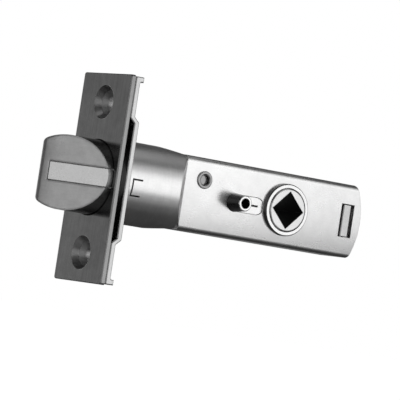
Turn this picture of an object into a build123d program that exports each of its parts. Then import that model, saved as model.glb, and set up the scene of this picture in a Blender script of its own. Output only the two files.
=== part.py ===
from build123d import *
import os
from math import sqrt, radians, tan

# Tubular door latch.  Origin: centre of the faceplate's front face, on the
# bolt axis.  +X runs back into the door, +Y to the far side of the case, +Z up.

# ---------------------------------------------------------------- dimensions
# faceplate and the joggled plate behind it
plate_w, plate_h, plate_t = 23.8, 57.15, 1.6
plate_hole_r = 10.5
screw_z = 20.64            # screw holes at +-screw_z, 1 5/8 in apart
csk_r, csk_r_back = 4.65, 3.30
back_w, back_t = 23.8, 1.5
back_hole_r = 2.05
dimple_r0, dimple_r1, dimple_x1 = 4.40, 3.00, 4.6   # screw holes pressed back into cups
plate_round, plate_edge, back_edge = 0.5, 0.25, 0.25
joggle = 1.6               # depth of the pocket between the two plates
joggle_z0, joggle_z1 = 15.6, 17.0
back_end_z = 28.3
back_tab_x = 4.2           # how far the turned ends reach back

# barrel
barrel_r, barrel_bore_r = 11.4, 10.7
bore_end_x = 20.8          # end of the round bore
ramp_deg = 51.0            # flat flanks that run down to the case
ramp_round = 0.8
taper_x0 = 18.4            # where the top and bottom start to fall
lip_r = 11.75
lip_x0, lip_x1 = 2.40, 3.15
neck_x1 = 35.0
lance_x0, lance_x1, lance_z0, lance_z1, lance_w = 5.7, 9.0, -3.8, 1.1, 0.45

# bolt guide
guide_r0, guide_r1, guide_x0, guide_x1 = 10.40, 10.65, 1.70, 18.4
guide_lip_x1 = 2.35

# case
case_x0, case_corner_x, case_tip_x = 25.6, 83.9, 87.0
case_hy, case_hz, case_wall = 6.9, 10.35, 1.0
case_bend_top, case_bend_low = 1.8, 1.1
backset = 60.325           # faceplate front to hub centre, 2 3/8 in
slot_z, slot_r, slot_x0, slot_x1 = -0.4, 2.45, 42.75, 50.55
win_x0, win_x1, win_hz = 79.8, 84.3, 4.7
key_x0, key_x1, key_hz, key_hy = 80.95, 83.60, 4.45, 6.45
key_web_hy = 3.0
rivet_x, rivet_z, rivet_r, rivet_bore_r, rivet_head_r = 31.9, 4.25, 1.95, 1.40, 2.45
rivet_bore_y = 6.2         # blind holes in both ends stop here

# hub
hub_r, hub_mid_r, hub_hy, hub_mid_hy = 6.00, 6.30, 8.4, 5.7
bush_r, bush_neck_r, bush_bore_r, bush_hy = 7.3, 6.60, 6.18, 8.1
square = 7.5
arm_r, arm_hw, arm_back_hw, arm_root_hw, arm_hy, arm_lean = 9.05, 0.9, 0.4, 3.2, 1.5, 43.4
arm_neck = -0.6            # the pushing face of each arm is hollowed to here
hub_turn = 86.8
lock_disc_r, lock_disc_y0, lock_disc_y1 = 7.9, -5.25, -4.75

# bolt
bolt_r, bolt_nose_x, bolt_flat_y, bolt_rear_x = 10.25, -14.7, 7.9, 6.5
bolt_nose_r, bolt_corner_r = 1.8, 2.2
bevel_end_x = -1.5         # where the bevel meets the near side of the bolt
travel = 12.4
insert_start, insert_hz, insert_depth, insert_gap = 4.9, 2.40, 1.5, 0.22
recess_r, recess_x0 = 7.8, 2.5
stem_r, stem_x0, stem_x1 = 2.0, -4.0, 40.4
pin_r, pin_hy, pin_x = 1.0, 9.6, 0.8
seat_x0, seat_x1, seat_r, seat_bore_r = 19.2, 20.7, 10.6, 2.3

# drawbar
draw_x0, draw_wall, draw_x1 = 36.0, 2.0, 61.0
draw_hy, draw_z0, draw_z1 = 3.0, 6.5, 9.1
draw_slot_hy = 1.8
ear_x = backset - 4.9
nut_af, nut_t = 5.5, 2.2

# rear return springs and the block that backs them
block_x0, block_x1 = 77.0, 79.6

# locking slide
post_x, post_r, post_foot_r, post_bore_r = 43.0, 2.15, 2.60, 1.45
post_y0, post_y1 = -12.2, -6.95      # tapered part that stands out of the case
post_bore_y, tongue_hx, tongue_hz = -7.6, 0.9, 0.16
lock_y0, lock_y1 = -5.30, -4.70
lock_x0, lock_shoulder_x, lock_x1, lock_hz = 38.0, 44.5, 46.7, 3.3
lock_travel = 7.0
rail_y0, rail_y1, rail_x0, rail_x1 = -5.88, -5.38, 36.2, 53.4
pad_y, pad_gap = -6.70, 0.12         # pad of the channel that fills the slot
rail_hz, rail_lip, rail_lip_x1, rail_lip_y1, slit_hz = 4.2, 0.5, 51.5, -4.4, 0.22


# ------------------------------------------------------------------- helpers
def box(x0, x1, y0, y1, z0, z1):
    return Pos((x0 + x1) / 2, (y0 + y1) / 2, (z0 + z1) / 2) * Box(x1 - x0, y1 - y0, z1 - z0)


def cyl_x(r, x0, x1, y=0.0, z=0.0):
    return Pos((x0 + x1) / 2, y, z) * Rot(0, 90, 0) * Cylinder(r, x1 - x0)


def cyl_y(r, y0, y1, x=0.0, z=0.0):
    return Pos(x, (y0 + y1) / 2, z) * Rot(90, 0, 0) * Cylinder(r, y1 - y0)


def cone_x(r0, r1, x0, x1, y=0.0, z=0.0):
    return Pos((x0 + x1) / 2, y, z) * Rot(0, 90, 0) * Cone(r0, r1, x1 - x0)


def cone_y(r0, r1, y0, y1, x=0.0, z=0.0):
    # r0 at y0, r1 at y1
    return Pos(x, (y0 + y1) / 2, z) * Rot(-90, 0, 0) * Cone(r0, r1, y1 - y0)


def obround_y(r, x0, x1, z, y0, y1):
    return (box(x0, x1, y0, y1, z - r, z + r)
            + cyl_y(r, y0, y1, x0, z) + cyl_y(r, y0, y1, x1, z))


def at_hub(angle, shape):
    return Pos(backset, 0, 0) * Rot(0, angle, 0) * Pos(-backset, 0, 0) * shape


def coil(x0, x1, mean_r, wire_r, turns, z=0.0):
    # open coil along X, its wire just inside x0..x1
    h = (x1 - x0) - 2 * wire_r
    path = Helix(pitch=h / turns, height=h, radius=mean_r)
    start = path @ 0
    section = Plane(origin=start, z_dir=path % 0) * Circle(wire_r)
    spring = sweep(section, path=path, is_frenet=True)
    return Pos(x0 + wire_r, 0, z) * Rot(0, 90, 0) * spring


nodes = {}

# ----------------------------------------------------------------- faceplate
fp = box(0, plate_t, -plate_w / 2, plate_w / 2, -plate_h / 2, plate_h / 2)
fp = fillet(fp.edges().filter_by(Axis.X), 0.6)
fp = fillet(fp.faces().sort_by(Axis.X)[0].edges(), plate_round)
fp = chamfer(fp.faces().sort_by(Axis.X)[-1].edges(), plate_edge)
fp -= cyl_x(plate_hole_r, -1, plate_t + 1)
for s in (1, -1):
    fp -= cone_x(csk_r, csk_r_back, 0, plate_t, 0, s * screw_z)
nodes["faceplate"] = fp

# ------------------------------------------------------------- backing plate
x0, x1 = plate_t, plate_t + back_t
m0, m1 = x0 + joggle, x1 + joggle
ez, et = back_end_z, back_t
bend = 0.4
pts = [(back_tab_x, ez), (x0, ez), (x0, joggle_z1), (m0, joggle_z0), (m0, -joggle_z0),
       (x0, -joggle_z1), (x0, -ez), (back_tab_x, -ez), (back_tab_x, -ez + et),
       (x1, -ez + et), (x1, -joggle_z1 - bend), (m1, -joggle_z0 - bend),
       (m1, joggle_z0 + bend), (x1, joggle_z1 + bend), (x1, ez - et), (back_tab_x, ez - et)]
sk = Plane.XZ * Polygon(*pts, align=None)
bp = extrude(sk, amount=back_w / 2, both=True)
bends = [e for e in bp.edges().filter_by(Axis.Y)
         if abs(e.center().X - back_tab_x) > 0.05]
bp = fillet(bends, 0.45)
bp = chamfer(bp.faces().sort_by(Axis.Y)[0].edges() + bp.faces().sort_by(Axis.Y)[-1].edges(), back_edge)
bp -= cyl_x(barrel_r + 0.05, 0, 8)
for s in (1, -1):
    bp += cone_x(dimple_r0, dimple_r1, x1, dimple_x1, 0, s * screw_z)
    bp -= cone_x(csk_r_back, back_hole_r, x0, x0 + csk_r_back - back_hole_r, 0, s * screw_z)
    bp -= cyl_x(back_hole_r, x0, 5, 0, s * screw_z)
nodes["backing_plate"] = bp

# -------------------------------------------------------------------- barrel
def section(x, w, h, r):
    return Plane(origin=(x, 0, 0), x_dir=(0, 1, 0), z_dir=(1, 0, 0)) * RectangleRounded(w, h, r)


def wedge(xe, hy, hz):
    # flat flanks and top that close in towards x = xe
    ky, kz = tan(radians(ramp_deg)), (barrel_r - shoulder_hz) / (case_x0 - taper_x0)
    side = Polygon((-20, -13), (xe - (13 - hy) / ky, -13), (xe, -hy), (xe, hy), (xe - (13 - hy) / ky, 13), (-20, 13), align=None)
    top = Polygon((-20, -13), (xe - (13 - hz) / kz, -13), (xe, -hz), (xe, hz), (xe - (13 - hz) / kz, 13), (-20, 13), align=None)
    return extrude(Plane.XY * side, amount=15, both=True) & extrude(Plane.XZ * top, amount=15, both=True)


shoulder_hy, shoulder_hz = case_hy - 0.03, case_hz - 0.12
neck_w, neck_h = 2 * (case_hy - case_wall) - 0.1, 2 * (case_hz - case_wall) - 0.1
barrel = cyl_x(barrel_r, lip_x0, case_x0) & wedge(case_x0, shoulder_hy, shoulder_hz)
crest = [e for e in barrel.edges() if e.geom_type == GeomType.ELLIPSE and abs(e.center().Y) > 8]
barrel = fillet(crest, ramp_round)
barrel += cyl_x(lip_r, lip_x0, lip_x1)
barrel += extrude(section(case_x0 - 0.5, neck_w, neck_h, 0.8), amount=neck_x1 - case_x0 + 0.5)
barrel -= cyl_x(barrel_bore_r, lip_x0 - 1, bore_end_x)
barrel -= cyl_x(barrel_bore_r - 0.4, bore_end_x - 1, case_x0) & wedge(case_x0 - 0.3, neck_w / 2 - 1, neck_h / 2 - 1)
barrel -= extrude(section(case_x0 - 2, neck_w - 2.0, neck_h - 2.0, 1.6), amount=neck_x1 - case_x0 + 4)
barrel -= box(lance_x0, lance_x0 + lance_w, -13, -8, lance_z0, lance_z1)
barrel -= box(lance_x0, lance_x1, -13, -8, lance_z1 - lance_w, lance_z1)
barrel -= box(lance_x0, lance_x1, -13, -8, lance_z0, lance_z0 + lance_w)
barrel -= cyl_y(rivet_r + 0.03, -9, 9, rivet_x, rivet_z)
nodes["barrel"] = barrel

# ---------------------------------------------------------------- bolt guide
guide = cyl_x(guide_r1, guide_x0, guide_x1) + cyl_x(lip_r, guide_x0, guide_lip_x1)
guide -= cyl_x(guide_r0, guide_x0 - 1, guide_x1 + 1)
nodes["bolt_guide"] = guide

# --------------------------------------------------------------------- case
def case_profile(x0, xc, xt, hz, r):
    with BuildPart() as p:
        with BuildSketch(Plane.XZ) as s:
            with BuildLine():
                Polyline((x0, -hz), (xc, -hz))
                ThreePointArc((xc, -hz), (xt, 0), (xc, hz))
                Polyline((xc, hz), (x0, hz), (x0, -hz))
            make_face()
            fillet(s.vertices().filter_by(lambda v: abs(v.X - xc) < 0.01), r)
    return s.sketch


with BuildSketch(Plane(origin=(case_x0 - 1, 0, 0), x_dir=(0, 1, 0), z_dir=(1, 0, 0))) as across_case:
    Rectangle(2 * case_hy, 2 * case_hz)
    fillet(across_case.vertices().filter_by(lambda v: v.Y > 0), case_bend_top)
    fillet(across_case.vertices().filter_by(lambda v: v.Y < -case_hz + 0.01), case_bend_low)
outer = extrude(case_profile(case_x0, case_corner_x, case_tip_x, case_hz + 1, 3.2), amount=case_hy + 1, both=True)
outer &= extrude(across_case.sketch, amount=80)
inner = extrude(case_profile(case_x0 - 1, case_corner_x - 0.8, case_tip_x - case_wall, case_hz - case_wall, 0.8),
                amount=case_hy - case_wall, both=True)
rims = [e for e in inner.edges()
        if abs(abs(e.center().Y) - (case_hy - case_wall)) < 0.01 and e.center().X > case_x0]
inner = fillet(rims, case_bend_top - case_wall)
shell = outer - inner
shell -= cyl_y(bush_neck_r + 0.03, -10, 10, backset, 0)
shell -= cyl_y(rivet_r + 0.03, -10, 10, rivet_x, rivet_z)
shell -= box(win_x0, win_x1, -10, 10, -win_hz, win_hz) - box(win_x0 - 1, win_x1 + 1, -5, 5, -9, 9)
near = shell & box(0, 100, -20, 0, -20, 20)
far = shell & box(0, 100, 0, 20, -20, 20)
near -= obround_y(slot_r, slot_x0, slot_x1, slot_z, -10, -5)
nodes["case_shell_near"] = near
nodes["case_shell_far"] = far

# key that ties the two shells together at the tail, its ends in the windows
key = box(key_x0, key_x1, -key_hy, key_hy, -key_hz, key_hz)
key = chamfer(key.edges().filter_by(Axis.Z), 0.25)
key += box(block_x1, key_x0 + 0.5, -key_web_hy, key_web_hy, -key_hz, key_hz)
nodes["tail_key"] = key

# rivet through both shells and the barrel's neck, drilled at both ends
rv = cyl_y(rivet_r, -case_hy, case_hy, rivet_x, rivet_z)
for s in (-1, 1):
    ya, yb = sorted((s * case_hy, s * (case_hy + 0.45)))
    head = cyl_y(rivet_head_r, ya, yb, rivet_x, rivet_z)
    rim = [e for e in head.edges().filter_by(GeomType.CIRCLE) if abs(e.center().Y) > case_hy + 0.2]
    rv += fillet(rim, 0.3)
for s in (-1, 1):
    ya, yb = sorted((s * rivet_bore_y, s * 10))
    rv -= cyl_y(rivet_bore_r, ya, yb, rivet_x, rivet_z)
    y_out = s * (case_hy + 0.45)
    rv -= cone_y(rivet_bore_r + 0.3, rivet_bore_r, y_out, y_out + 0.3, rivet_x, rivet_z) if s < 0 else \
        cone_y(rivet_bore_r, rivet_bore_r + 0.3, y_out - 0.3, y_out, rivet_x, rivet_z)
nodes["case_rivet"] = rv

# ----------------------------------------------------------- hub and bushes
for name, s in (("hub_bush_near", -1), ("hub_bush_far", 1)):
    ya, yb = sorted((s * case_hy, s * bush_hy))
    fl = cyl_y(bush_r, ya, yb, backset, 0)
    rim = [e for e in fl.edges().filter_by(GeomType.CIRCLE) if abs(abs(e.center().Y) - bush_hy) < 0.01]
    fl = chamfer(rim, 0.25)
    ya, yb = sorted((s * (case_hy - case_wall - 0.1), s * case_hy))
    fl += cyl_y(bush_neck_r, ya, yb, backset, 0)
    fl -= cyl_y(bush_bore_r, -12, 12, backset, 0)
    nodes[name] = fl

core = cyl_y(hub_r, -hub_hy, hub_hy, backset, 0)
rim = [e for e in core.edges().filter_by(GeomType.CIRCLE)]
core = chamfer(rim, 0.3)
hub = core + cyl_y(hub_mid_r, -hub_mid_hy, hub_mid_hy, backset, 0)
for s in (1, -1):
    pts = [(-arm_root_hw, 3.0), (arm_neck, 3.0), (arm_neck, hub_mid_r), (arm_hw, arm_r), (-arm_back_hw, arm_r)]
    pts = [(s * px, pz) for px, pz in pts]
    arm = extrude(Plane.XZ * Polygon(*pts, align=None), amount=arm_hy, both=True)
    hub += Pos(backset, 0, 0) * Rot(0, -arm_lean if s > 0 else 180 + arm_lean, 0) * arm
lock_disc = cyl_y(lock_disc_r, lock_disc_y0, lock_disc_y1, backset, 0)
notch = box(backset - 10, backset - hub_mid_r, -6, -2, slot_z - 1.6, slot_z + 1.6)
lock_disc -= notch
lock_disc -= at_hub(-hub_turn, notch)
hub += lock_disc
hub -= Pos(backset, 0, 0) * Rot(0, 45, 0) * Box(square, 30, square)
nodes["hub"] = hub

# --------------------------------------------------------------------- bolt
bevel_len = sqrt((bevel_end_x - bolt_nose_x) ** 2 + (bolt_flat_y + bolt_r) ** 2)
bevel_dir = ((bevel_end_x - bolt_nose_x) / bevel_len, -(bolt_flat_y + bolt_r) / bevel_len, 0)
bevel_out = (bevel_dir[1], -bevel_dir[0], 0)
bevel = Plane(origin=(bolt_nose_x, bolt_flat_y, 0), x_dir=bevel_dir, z_dir=bevel_out)

flat_x = -0.4              # the flat back runs out here
across = Plane(origin=(bolt_nose_x - 2, 0, 0), x_dir=(0, 1, 0), z_dir=(1, 0, 0))
flat_half = sqrt(bolt_r ** 2 - bolt_flat_y ** 2)
with BuildSketch(across) as d_shape:
    Circle(bolt_r - 0.01)
    with Locations((bolt_flat_y + 10, 0)):
        Rectangle(20, 40, mode=Mode.SUBTRACT)
    fillet(d_shape.vertices(), bolt_corner_r)
run = 1.3
with BuildSketch(Plane.XY) as side:
    with BuildLine():
        Polyline((bolt_nose_x, bolt_flat_y),
                 (bolt_nose_x + run * bevel_len * bevel_dir[0], bolt_flat_y + run * bevel_len * bevel_dir[1]),
                 (20, bolt_flat_y + run * bevel_len * bevel_dir[1]), (20, 12), (flat_x, 12), (flat_x, bolt_flat_y), close=True)
    make_face()
    fillet(side.vertices().sort_by(Axis.X)[0], bolt_nose_r)
blank = extrude(d_shape.sketch, amount=flat_x - bolt_nose_x + 2) & extrude(side.sketch, amount=15, both=True)
blank += cyl_x(bolt_r, flat_x, bolt_rear_x)
groove = bevel * Pos(insert_start + 20, 0, 0) * Box(40, 2 * (insert_hz + insert_gap), 2 * insert_depth)
head = blank - groove
head -= cyl_x(recess_r, recess_x0, bolt_rear_x + 1)
head -= cyl_x(stem_r + 0.02, stem_x0, recess_x0 + 1)
head -= cyl_y(pin_r + 0.02, -12, 12, pin_x, 0)
nodes["bolt_head"] = head

insert = bevel * Pos(insert_start + insert_gap + 20, 0, -insert_depth / 2 + 0.06) * Box(40, 2 * insert_hz, insert_depth - 0.02)
insert &= cyl_x(bolt_r - 0.02, bolt_nose_x - 2, bolt_rear_x)
nodes["bolt_insert"] = insert

stem = cyl_x(stem_r, stem_x0 + 0.1, stem_x1)
stem = chamfer(stem.edges().filter_by(GeomType.CIRCLE), 0.3)
stem -= cyl_y(pin_r + 0.02, -12, 12, pin_x, 0)
nodes["bolt_stem"] = stem

pin = cyl_y(pin_r, -pin_hy, pin_hy, pin_x, 0)
pin = chamfer(pin.edges().filter_by(GeomType.CIRCLE), 0.2)
nodes["stem_pin"] = pin

seat = cyl_x(seat_r, seat_x0, seat_x1) - cyl_x(seat_bore_r, seat_x0 - 1, seat_x1 + 1)
nodes["spring_seat"] = seat

nodes["bolt_spring"] = coil(recess_x0 + 0.02, seat_x0 - 0.02, 6.3, 0.4, 4.5)

# ------------------------------------------------------------------ drawbar
dx1 = draw_x0 + draw_wall
db = box(draw_x0, dx1, -draw_hy, draw_hy, -draw_z1, draw_z1)
for s in (1, -1):
    za, zb = sorted((s * draw_z0, s * draw_z1))
    db += box(draw_x0, draw_x1, -draw_hy, draw_hy, za, zb)
    db -= box(backset - 10.3, ear_x, -draw_slot_hy, draw_slot_hy, s * 8 - 3, s * 8 + 3)
corner = [e for e in db.edges().filter_by(Axis.Y)
          if abs(e.center().X - dx1) < 0.01 and abs(abs(e.center().Z) - draw_z0) < 0.01]
db = fillet(corner, 1.2)
db -= cyl_x(stem_r + 0.02, draw_x0 - 1, dx1 + 1)
nodes["drawbar"] = db

nut = extrude(Plane(origin=(dx1, 0, 0), x_dir=(0, 1, 0), z_dir=(1, 0, 0))
              * RegularPolygon(nut_af / 2, 6, major_radius=False, rotation=0), amount=nut_t)
nut -= cyl_x(stem_r + 0.02, dx1 - 1, dx1 + nut_t + 1)
nodes["stem_nut"] = nut

spring_z = (draw_z0 + draw_z1) / 2
nodes["return_spring_upper"] = coil(draw_x1 + 0.02, block_x0 - 0.02, 0.95, 0.16, 9, spring_z)
nodes["return_spring_lower"] = coil(draw_x1 + 0.02, block_x0 - 0.02, 0.95, 0.16, 9, -spring_z)

block = box(block_x0, block_x1, -(case_hy - case_wall - 0.05), case_hy - case_wall - 0.05,
            -(case_hz - case_wall - 0.05), case_hz - case_wall - 0.05)
block = chamfer(block.edges().filter_by(Axis.X), 0.6)
nodes["tail_block"] = block

# ------------------------------------------------------------- locking slide
plate = box(lock_x0, lock_shoulder_x, lock_y0, lock_y1, slot_z - lock_hz, slot_z + lock_hz)
plate += box(lock_shoulder_x, lock_x1, lock_y0, lock_y1, slot_z - 1.3, slot_z + 1.3)
plate -= box(post_x - tongue_hx - 0.02, post_x + tongue_hx + 0.02, -8, 0, slot_z - tongue_hz - 0.02, slot_z + tongue_hz + 0.02)
nodes["lock_plate"] = plate

post = cone_y(post_r, post_foot_r, post_y0, post_y1, post_x, slot_z)
post = chamfer([e for e in post.edges().filter_by(GeomType.CIRCLE) if e.center().Y < post_y0 + 0.1], 0.2)
post += box(post_x - tongue_hx, post_x + tongue_hx, post_y1 - 0.3, lock_y1, slot_z - tongue_hz, slot_z + tongue_hz)
post -= cyl_y(post_bore_r, post_y0 - 1, post_bore_y, post_x, slot_z)
nodes["lock_post"] = post

# channel behind the slot, its pad filling the slot, slit for the post's tongue; the lock plate slides in it
rail = box(rail_x0, rail_x1, rail_y0, rail_y1, slot_z - rail_hz, slot_z + rail_hz)
for s in (1, -1):
    za, zb = sorted((slot_z + s * (rail_hz - rail_lip), slot_z + s * rail_hz))
    rail += box(rail_x0, rail_lip_x1, rail_y0, rail_lip_y1, za, zb)
rail += obround_y(slot_r - pad_gap, slot_x0, slot_x1, slot_z, pad_y, rail_y0 + 0.1)
rail -= box(post_x - tongue_hx - 0.2, post_x + lock_travel + tongue_hx + 0.2, -8, 0, slot_z - slit_hz, slot_z + slit_hz)
nodes["slot_rail"] = rail

# -------------------------------------------------------------------- export
os.makedirs("parts", exist_ok=True)
for name, shape in nodes.items():
    export_step(shape, "parts/%s.step" % name)
print(len(nodes), "nodes")
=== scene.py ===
import bpy, bmesh, math
from mathutils import Matrix, Vector


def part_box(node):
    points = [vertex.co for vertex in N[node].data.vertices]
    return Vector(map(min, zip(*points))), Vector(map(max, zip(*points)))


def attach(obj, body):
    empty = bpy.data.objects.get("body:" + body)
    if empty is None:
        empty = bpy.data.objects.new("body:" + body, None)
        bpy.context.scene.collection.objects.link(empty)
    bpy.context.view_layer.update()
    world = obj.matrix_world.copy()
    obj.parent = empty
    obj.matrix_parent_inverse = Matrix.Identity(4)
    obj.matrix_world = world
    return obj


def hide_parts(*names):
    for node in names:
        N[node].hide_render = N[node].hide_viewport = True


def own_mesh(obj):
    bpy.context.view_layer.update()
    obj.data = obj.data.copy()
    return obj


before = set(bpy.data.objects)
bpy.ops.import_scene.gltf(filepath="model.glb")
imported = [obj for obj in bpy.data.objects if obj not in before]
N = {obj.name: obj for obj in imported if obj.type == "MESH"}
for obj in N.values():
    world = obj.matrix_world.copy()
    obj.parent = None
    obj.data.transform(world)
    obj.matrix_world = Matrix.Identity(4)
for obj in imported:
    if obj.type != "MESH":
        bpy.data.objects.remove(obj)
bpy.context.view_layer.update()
scene = bpy.context.scene
MM = 0.001


# ------------------------------------------------------------------ node kit
class Mat:
    """A principled material with small helpers to chain procedural nodes."""

    def __init__(self, name, edge=0.0):
        self.round = edge
        self.m = bpy.data.materials.new(name)
        self.m.use_nodes = True
        self.t = self.m.node_tree
        self.t.nodes.clear()
        self.out = self.t.nodes.new("ShaderNodeOutputMaterial")
        self.b = self.t.nodes.new("ShaderNodeBsdfPrincipled")
        self.t.links.new(self.b.outputs["BSDF"], self.out.inputs["Surface"])
        self.co = self.t.nodes.new("ShaderNodeTexCoord").outputs["Object"]

    def set(self, **kw):
        for k, v in kw.items():
            self.b.inputs[k.replace("_", " ")].default_value = v
        return self

    def scaled(self, s):
        n = self.t.nodes.new("ShaderNodeMapping")
        n.inputs["Scale"].default_value = s
        self.t.links.new(self.co, n.inputs["Vector"])
        return n.outputs["Vector"]

    def noise(self, s, detail=4.0, rough=0.55, distort=0.0, dims="3D"):
        n = self.t.nodes.new("ShaderNodeTexNoise")
        n.inputs["Scale"].default_value = 1.0
        n.inputs["Detail"].default_value = detail
        n.inputs["Roughness"].default_value = rough
        n.inputs["Distortion"].default_value = distort
        self.t.links.new(self.scaled(s), n.inputs["Vector"])
        return n.outputs["Fac"]

    def axis(self, i):
        n = self.t.nodes.new("ShaderNodeSeparateXYZ")
        self.t.links.new(self.co, n.inputs[0])
        return n.outputs[i]

    def math(self, op, a, b=None, c=None, clamp=False):
        n = self.t.nodes.new("ShaderNodeMath")
        n.operation = op
        n.use_clamp = clamp
        for i, v in enumerate((a, b, c)):
            if v is None:
                continue
            if isinstance(v, (int, float)):
                n.inputs[i].default_value = v
            else:
                self.t.links.new(v, n.inputs[i])
        return n.outputs[0]

    def range(self, v, a, b, lo, hi, smooth=False):
        n = self.t.nodes.new("ShaderNodeMapRange")
        n.interpolation_type = "SMOOTHSTEP" if smooth else "LINEAR"
        n.clamp = True
        for k, x in zip(("From Min", "From Max", "To Min", "To Max"), (a, b, lo, hi)):
            n.inputs[k].default_value = x
        self.t.links.new(v, n.inputs["Value"])
        return n.outputs[0]

    def grey(self, v):
        n = self.t.nodes.new("ShaderNodeCombineColor")
        for i in range(3):
            self.t.links.new(v, n.inputs[i])
        return n.outputs[0]

    def to(self, socket, v):
        self.t.links.new(v, self.b.inputs[socket])
        return self

    def bump(self, height, strength, distance):
        n = self.t.nodes.new("ShaderNodeBump")
        n.inputs["Strength"].default_value = strength
        n.inputs["Distance"].default_value = distance
        self.t.links.new(height, n.inputs["Height"])
        if self.round:
            e = self.t.nodes.new("ShaderNodeBevel")
            e.samples = 4
            e.inputs["Radius"].default_value = self.round
            self.t.links.new(e.outputs[0], n.inputs["Normal"])
        self.t.links.new(n.outputs[0], self.b.inputs["Normal"])
        self.last = n.outputs[0]
        return self

    def sway(self, height):
        """A second bump over the first, for slow bends of the sheet, height in metres."""
        n = self.t.nodes.new("ShaderNodeBump")
        n.inputs["Strength"].default_value = 1.0
        n.inputs["Distance"].default_value = 1.0
        self.t.links.new(height, n.inputs["Height"])
        self.t.links.new(self.last, n.inputs["Normal"])
        self.t.links.new(n.outputs[0], self.b.inputs["Normal"])
        return self


def metal(name, tone, rough, streak, amount=0.10, grain=0.05, bump=0.06, mottle=0.06, edge=0.0002, crown=None, nose=None, sheen=0.15, patch=0.03):
    """Plated metal: streak is the noise scale along X, Y, Z (per metre).

    crown = (z where the sheet starts to fall away, slope there, radius of the fall).
    nose = (x where the bolt starts to round over towards its nose, how fast).
    """
    m = Mat(name, edge)
    m.set(Metallic=1.0)
    fine = m.noise(streak, 5.0, 0.6)
    broad = m.noise((55, 55, 55), 3.0, 0.5)
    speck = m.noise((2600, 2600, 2600), 2.0, 0.5)
    v = m.math("ADD", m.range(fine, 0.3, 0.7, tone - amount * tone, tone + amount * tone),
               m.range(broad, 0.3, 0.7, -mottle * tone, mottle * tone))
    v = m.math("ADD", v, m.range(speck, 0.35, 0.65, -grain * tone * 0.5, grain * tone * 0.5))
    blot = m.noise((330, 330, 330), 2.5, 0.55)
    v = m.math("ADD", v, m.range(blot, 0.32, 0.68, -patch * tone, patch * tone))
    m.to("Base Color", m.grey(v))
    r = m.math("ADD", m.range(fine, 0.3, 0.7, rough * (1.0 - sheen), rough * (1.0 + sheen)),
               m.range(broad, 0.3, 0.7, -0.03, 0.04))
    m.to("Roughness", r)
    h = m.math("ADD", m.math("MULTIPLY", fine, 0.7), m.math("MULTIPLY", speck, 0.3))
    m.bump(h, bump, 0.0002)
    if crown:
        z0, slope, radius = crown
        d = m.math("MAXIMUM", m.math("SUBTRACT", z0, m.axis(2)), 0.0)
        fall = m.math("MULTIPLY", d, m.math("MULTIPLY_ADD", d, 0.5 / radius, slope))
        m.sway(m.math("MULTIPLY", fall, m.range(m.axis(0), 0.025, 0.087, -0.90, -1.06)))
    if nose:
        d = m.math("MAXIMUM", m.math("SUBTRACT", nose[0], m.axis(0)), 0.0)
        m.sway(m.math("MULTIPLY", m.math("MULTIPLY", d, d), -0.5 * nose[1]))
    return m.m


M = {}
M["plate"] = metal("satin_plate", 0.40, 0.15, (900, 1600, 60), amount=0.10, mottle=0.10, bump=0.04, patch=0.08)
M["plate_edge"] = metal("satin_plate_edge", 0.30, 0.24, (900, 900, 60), amount=0.10, bump=0.05)
M["bolt_bevel"] = metal("satin_bolt_bevel", 0.57, 0.32, (260, 260, 1500), amount=0.06, mottle=0.07, bump=0.05, edge=0.0009, nose=(-0.0100, 75.0), patch=0.08)
# darker copy of the bolt metal: painted shade on the bolt's nose faces
M["bolt_nose_shaded"] = metal("painted_shade_bolt_nose", 0.34, 0.30, (260, 260, 1500), amount=0.06, mottle=0.06, bump=0.05, edge=0.0004)
# darker copy of the bolt metal: painted shade on the bolt's side walls
M["bolt_side_shaded"] = metal("painted_shade_bolt_side", 0.19, 0.28, (300, 1200, 1200), amount=0.12, bump=0.05, edge=0.0)
M["insert"] = metal("bright_strip", 0.83, 0.24, (200, 200, 1400), amount=0.05, mottle=0.04, bump=0.04)
M["backing"] = metal("zinc_backing", 0.58, 0.24, (900, 1200, 80), amount=0.06, bump=0.04)
M["sink"] = metal("satin_countersink", 0.40, 0.32, (900, 900, 900), amount=0.10, bump=0.05)
M["cup"] = metal("pressed_cup", 0.46, 0.50, (900, 900, 900), amount=0.08, bump=0.05)
# darker copy of the barrel zinc: painted shade on the lower shoulder faces
M["barrel_low_shaded"] = metal("painted_shade_shoulder_low", 0.34, 0.34, (1500, 120, 120), amount=0.03, bump=0.005, edge=0.0001)
M["barrel"] = metal("zinc_barrel", 0.86, 0.30, (1500, 120, 120), amount=0.03, mottle=0.05, bump=0.005, edge=0.0001, sheen=0.05)
M["case"] = metal("nickel_case", 0.90, 0.27, (70, 900, 900), amount=0.02, mottle=0.04, bump=0.006, edge=0.0001,
                  crown=(0.0085, 0.040, 0.110), sheen=0.05)
# darker copy of the bush nickel: painted shade on the bushes' side walls
M["bush_side_shaded"] = metal("painted_shade_bush_side", 0.10, 0.30, (900, 900, 900), amount=0.08, bump=0.05)
M["bush"] = metal("nickel_bush", 0.86, 0.22, (900, 900, 900), amount=0.05, bump=0.04)
M["hub"] = metal("hub_steel", 0.80, 0.28, (1200, 1200, 1200), amount=0.07, mottle=0.05, bump=0.07)
# near-black finish: painted shade on the walls of the hub's square hole, the rivet's recess and the post's bore
M["bore"] = metal("dark_bore", 0.035, 0.50, (900, 900, 900), amount=0.15, bump=0.08)
M["rivet"] = metal("rivet_steel", 0.38, 0.30, (1200, 1200, 1200), amount=0.08, bump=0.06)
M["post"] = metal("post_steel", 0.88, 0.20, (900, 900, 900), amount=0.05, bump=0.04)
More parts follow.
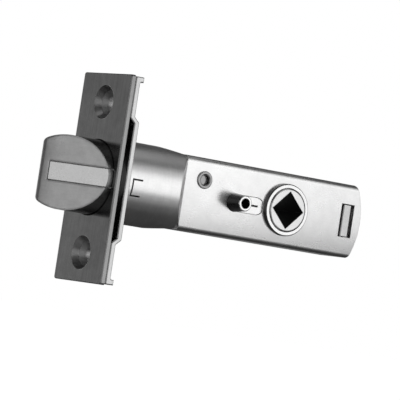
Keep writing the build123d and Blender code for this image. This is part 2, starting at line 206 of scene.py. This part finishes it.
# darker copy of the post steel: painted shade on the post's shaft
M["post_side_shaded"] = metal("painted_shade_post_side", 0.06, 0.26, (900, 900, 900), amount=0.08, bump=0.05)
M["rail"] = metal("rail_steel", 0.92, 0.30, (70, 900, 900), amount=0.05, bump=0.04)
M["key"] = metal("key_steel", 0.66, 0.30, (900, 900, 70), amount=0.08, bump=0.05)
M["inner"] = metal("plain_steel", 0.55, 0.38, (300, 900, 900), amount=0.08, bump=0.06)
M["wire"] = metal("spring_wire", 0.45, 0.30, (900, 900, 900), amount=0.08, bump=0.05)


def nylon(name, tone, rough, bump=0.08):
    m = Mat(name)
    m.set(Metallic=0.0)
    a = m.noise((700, 700, 700), 4.0, 0.6)
    b = m.noise((60, 60, 60), 3.0, 0.5)
    v = m.math("ADD", m.range(a, 0.3, 0.7, tone * 0.95, tone * 1.05), m.range(b, 0.3, 0.7, -0.03 * tone, 0.03 * tone))
    m.to("Base Color", m.grey(v))
    m.to("Roughness", m.range(a, 0.3, 0.7, rough * 0.9, rough * 1.1))
    m.bump(a, bump, 0.0002)
    return m.m


# black nylon for the bolt guide and tail block; on the barrel's end the same black is painted shade
M["black"] = nylon("black_nylon", 0.012, 0.45)


def dress(node, *mats):
    o = N[node]
    o.data.materials.clear()
    for k in mats:
        o.data.materials.append(M[k])
    for p in o.data.polygons:
        p.material_index = 0
    return o


def by_face(node, rule):
    for p in N[node].data.polygons:
        p.material_index = rule(p)


def off_axis(p, axis, a, b):
    """Distance of a face's centre from a line along an axis."""
    c = p.center
    return math.hypot(c.y - a, c.z - b) if axis == "x" else math.hypot(c.x - a, c.z - b)


dress("faceplate", "plate", "plate_edge", "sink")
by_face("faceplate", lambda p: 2 if min(off_axis(p, "x", 0.0, 0.02064), off_axis(p, "x", 0.0, -0.02064)) < 4.66 * MM and p.normal.x > -0.9 else 0 if p.normal.x < -0.9 else 1)
dress("backing_plate", "backing", "cup")
by_face("backing_plate", lambda p: 1 if min(off_axis(p, "x", 0.0, 0.02064), off_axis(p, "x", 0.0, -0.02064)) < 3.2 * MM and p.center.x < 4.55 * MM and p.normal.x < 0.1 else 0)
# the lower shoulder faces take the darker zinc copy as painted shade
dress("barrel", "barrel", "black", "barrel_low_shaded")
# barrel faces below x 3.2 mm, at the plates, take the black as painted shade in the gap between the plates
by_face("barrel", lambda p: 1 if p.center.x < 3.2 * MM else 2 if 20.0 * MM < p.center.x < 25.7 * MM and p.center.z < -8.8 * MM else 0)
dress("bolt_guide", "black")
dress("case_shell_near", "case")
dress("case_shell_far", "case")
dress("tail_key", "key")
dress("case_rivet", "rivet", "bore")
# walls of the rivet's recess take the near-black painted shade
by_face("case_rivet", lambda p: 1 if off_axis(p, "y", 0.0319, 0.00425) < 1.42 * MM and abs(p.normal.y) < 0.5 else 0)
HUB_X = 0.060325
for n in ("hub_bush_near", "hub_bush_far"):
    dress(n, "bush", "bush_side_shaded")
    # the side walls take the darker copy as painted shade
    by_face(n, lambda p: 0 if abs(p.normal.y) > 0.9 else 1)
dress("hub", "hub", "bore")
# walls of the square hole take the near-black painted shade
by_face("hub", lambda p: 1 if abs(p.center.x - HUB_X) + abs(p.center.z) < 5.6 * MM and abs(p.normal.y) < 0.5 else 0)
# the bolt's side walls take the darker copy of the bolt metal as painted shade
dress("bolt_head", "bolt_bevel", "bolt_side_shaded", "bolt_nose_shaded")
bevel_out = Vector((-18.15, -13.2, 0)).normalized()
# the nose faces take the darker copy of the bolt metal as painted shade
by_face("bolt_head", lambda p: 0 if p.normal.dot(bevel_out) > 0.985 else 2 if p.center.x < -10.5 * MM and abs(p.normal.z) < 0.3 else 1)
# the insert's side faces take the same painted shade as the bolt's sides
dress("bolt_insert", "insert", "bolt_side_shaded")
by_face("bolt_insert", lambda p: 0 if p.normal.dot(bevel_out) > 0.9 else 1)
for n in ("bolt_stem", "stem_pin", "spring_seat", "drawbar", "stem_nut", "lock_plate"):
    dress(n, "inner")
dress("tail_block", "black")
# the post's shaft takes the darker copy as painted shade
dress("lock_post", "post", "bore", "post_side_shaded")
# walls of the post's bore take the near-black painted shade
by_face("lock_post", lambda p: 1 if off_axis(p, "y", 0.043, -0.0004) < 1.47 * MM and p.center.y < -0.0068 and (abs(p.normal.y) < 0.5 or p.center.y > -0.0115) else 0 if p.center.y < -0.0118 else 2)
dress("slot_rail", "rail")


# ------------------------------------------------------ springs built as wire coils
def coil(name, x0, x1, mean_r, wire_r, turns, z, node, dead=0.75):
    """Closed-end wire coil along X, swept ring by ring."""
    steps, ring = int(turns * 40), 12
    bm = bmesh.new()
    rows = []
    total = turns
    for i in range(steps + 1):
        t = i / steps * total
        live = total - 2 * dead
        u = (0.0 if t < dead else 1.0 if t > total - dead else (t - dead) / live)
        end = wire_r * 2.0
        x = x0 + wire_r + (min(t, dead) / dead) * end + u * (x1 - x0 - 2 * wire_r - 2 * end) \
            + (max(0.0, t - (total - dead)) / dead) * end
        a = 2 * math.pi * t
        c = Vector((x, mean_r * math.cos(a), z + mean_r * math.sin(a)))
        radial = Vector((0, math.cos(a), math.sin(a)))
        axial = Vector((1, 0, 0))
        rows.append([bm.verts.new(c + wire_r * (math.cos(b) * radial + math.sin(b) * axial))
                     for b in (2 * math.pi * k / ring for k in range(ring))])
    for p, q in zip(rows, rows[1:]):
        for k in range(ring):
            bm.faces.new((p[k], p[(k + 1) % ring], q[(k + 1) % ring], q[k]))
    bm.faces.new(rows[0][::-1])
    bm.faces.new(rows[-1])
    bmesh.ops.recalc_face_normals(bm, faces=bm.faces)
    me = bpy.data.meshes.new(name)
    bm.to_mesh(me)
    bm.free()
    for p in me.polygons:
        p.use_smooth = True
    o = bpy.data.objects.new(name, me)
    scene.collection.objects.link(o)
    me.materials.append(M["wire"])
    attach(o, "housing")
    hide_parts(node)
    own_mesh(o)
    return o


lo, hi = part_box("bolt_spring")
coil("bolt_spring_coil", lo.x, hi.x, 6.3 * MM, 0.4 * MM, 5.0, 0.0, "bolt_spring")
for n in ("return_spring_upper", "return_spring_lower"):
    lo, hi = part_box(n)
    coil(n + "_coil", lo.x, hi.x, 0.95 * MM, 0.16 * MM, 10.0, (lo.z + hi.z) / 2, n)


# -------------------------------------------------------------- floor, light
def plane(name, size, loc):
    bm = bmesh.new()
    bmesh.ops.create_grid(bm, x_segments=1, y_segments=1, size=size / 2)
    me = bpy.data.meshes.new(name)
    bm.to_mesh(me)
    bm.free()
    o = bpy.data.objects.new(name, me)
    o.location = loc
    scene.collection.objects.link(o)
    return o


floor = plane("floor", 30.0, (0.035, 0, -0.075))
fm = bpy.data.materials.new("pale_floor")
fm.use_nodes = True
fb = fm.node_tree.nodes["Principled BSDF"]
fb.inputs["Base Color"].default_value = (0.9, 0.9, 0.9, 1)
fb.inputs["Roughness"].default_value = 0.9
fb.inputs["Emission Color"].default_value = (1, 1, 1, 1)
fb.inputs["Emission Strength"].default_value = 1.0
floor.data.materials.append(fm)
floor.visible_glossy = False
floor.visible_diffuse = False
floor.visible_shadow = False

TARGET = Vector((0.035, 0, 0))


def softbox(name, direction, dist, w, h, radiance):
    d = Vector(direction).normalized()
    li = bpy.data.lights.new(name, "AREA")
    li.shape = "RECTANGLE"
    li.size, li.size_y = w, h
    li.energy = radiance * math.pi * w * h
    o = bpy.data.objects.new(name, li)
    o.location = TARGET + d * dist
    o.rotation_mode = "QUATERNION"
    o.rotation_quaternion = d.to_track_quat("Z", "Y")
    o.visible_camera = False
    scene.collection.objects.link(o)
    return o


def aim(az, el):
    """Direction az degrees round from +X towards -Y, el degrees up."""
    a, e = math.radians(az), math.radians(el)
    return (math.cos(a) * math.cos(e), -math.sin(a) * math.cos(e), math.sin(e))


def span(deg, dist=0.7):
    return 2 * dist * math.tan(math.radians(deg / 2))


softbox("key", aim(62, 7), 0.7, span(34), span(46), 1.16)
softbox("key_right", aim(35, 24), 0.7, span(22), span(36), 0.36)
softbox("key_low", aim(60, -27), 0.7, span(36), span(22), 0.26)
softbox("key_under", aim(60, -49), 0.7, span(40), span(22), 0.06)
softbox("key_high", aim(55, 38), 0.7, span(36), span(16), 0.34)
softbox("key_top", aim(45, 58), 0.7, span(44), span(24), 0.06)
softbox("top_back", (0.543, 0.371, 0.753), 0.7, span(40), span(40), 0.02)
softbox("left", (-0.958, -0.285, 0.035), 0.7, span(28), span(50), 0.60)
softbox("left_back", (-0.566, 0.8235, 0.035), 0.8, 0.75, 0.9, 0.22)
softbox("fill_front", (-0.57, -0.82, 0.05), 0.7, span(36), span(36), 0.50)
softbox("left_low", (-0.56, -0.12, -0.82), 0.7, span(46), span(46), 0.15)
softbox("left_high", (-0.46, -0.05, 0.89), 0.7, span(46), span(46), 0.10)
# fills for the sides that the camera doesn't see
softbox("near_fill", (0.0, -1.0, 0.0), 0.7, span(34), span(60), 0.75)
softbox("far_fill", (-0.05, 1.0, 0.0), 0.7, span(36), span(60), 0.60)
softbox("top_fill", (0.02, 0.0, 1.0), 0.7, span(36), span(60), 0.42)
softbox("low_fill", (0.0, 0.0, -1.0), 0.7, span(36), span(60), 0.20)
softbox("tail_fill", (1.0, 0.05, 0.1), 0.7, span(40), span(50), 0.55)
softbox("front_fill", (-0.97, 0.22, -0.05), 0.7, span(22), span(50), 0.22)
softbox("far_tail", (0.72, 0.69, 0.1), 0.7, span(24), span(40), 0.20)

world = bpy.data.worlds.new("studio")
scene.world = world
world.use_nodes = True
wt = world.node_tree
wt.nodes.clear()
wo = wt.nodes.new("ShaderNodeOutputWorld")
bg = wt.nodes.new("ShaderNodeBackground")
white = wt.nodes.new("ShaderNodeBackground")
mix = wt.nodes.new("ShaderNodeMixShader")
lp = wt.nodes.new("ShaderNodeLightPath")
bg.inputs["Color"].default_value = (0.028, 0.028, 0.028, 1)
white.inputs["Color"].default_value = (1, 1, 1, 1)
wt.links.new(lp.outputs["Is Camera Ray"], mix.inputs[0])
wt.links.new(bg.outputs[0], mix.inputs[1])
wt.links.new(white.outputs[0], mix.inputs[2])
wt.links.new(mix.outputs[0], wo.inputs["Surface"])

# -------------------------------------------------------------------- camera
AZ, EL, ROLL = (math.radians(v) for v in (-34.508, -2.029, 8.605))
back = Vector((math.sin(AZ) * math.cos(EL), -math.cos(AZ) * math.cos(EL), math.sin(EL)))
right = Vector((math.cos(AZ), math.sin(AZ), 0))
up = back.cross(right)
r = right * math.cos(ROLL) + up * math.sin(ROLL)
u = -right * math.sin(ROLL) + up * math.cos(ROLL)
cam = bpy.data.cameras.new("camera")
cam.sensor_fit = "HORIZONTAL"
cam.sensor_width = 36.0
cam.lens = 310.731
cam.clip_start, cam.clip_end = 0.01, 50.0
co = bpy.data.objects.new("camera", cam)
rot = Matrix((r, u, back)).transposed()
eye = TARGET + (955.608 * back + 0.764 * r - 1.2220 * u) * MM
co.matrix_world = Matrix.Translation(eye) @ rot.to_4x4()
scene.collection.objects.link(co)
scene.camera = co

scene.view_settings.view_transform = "Standard"
scene.view_settings.look = "None"
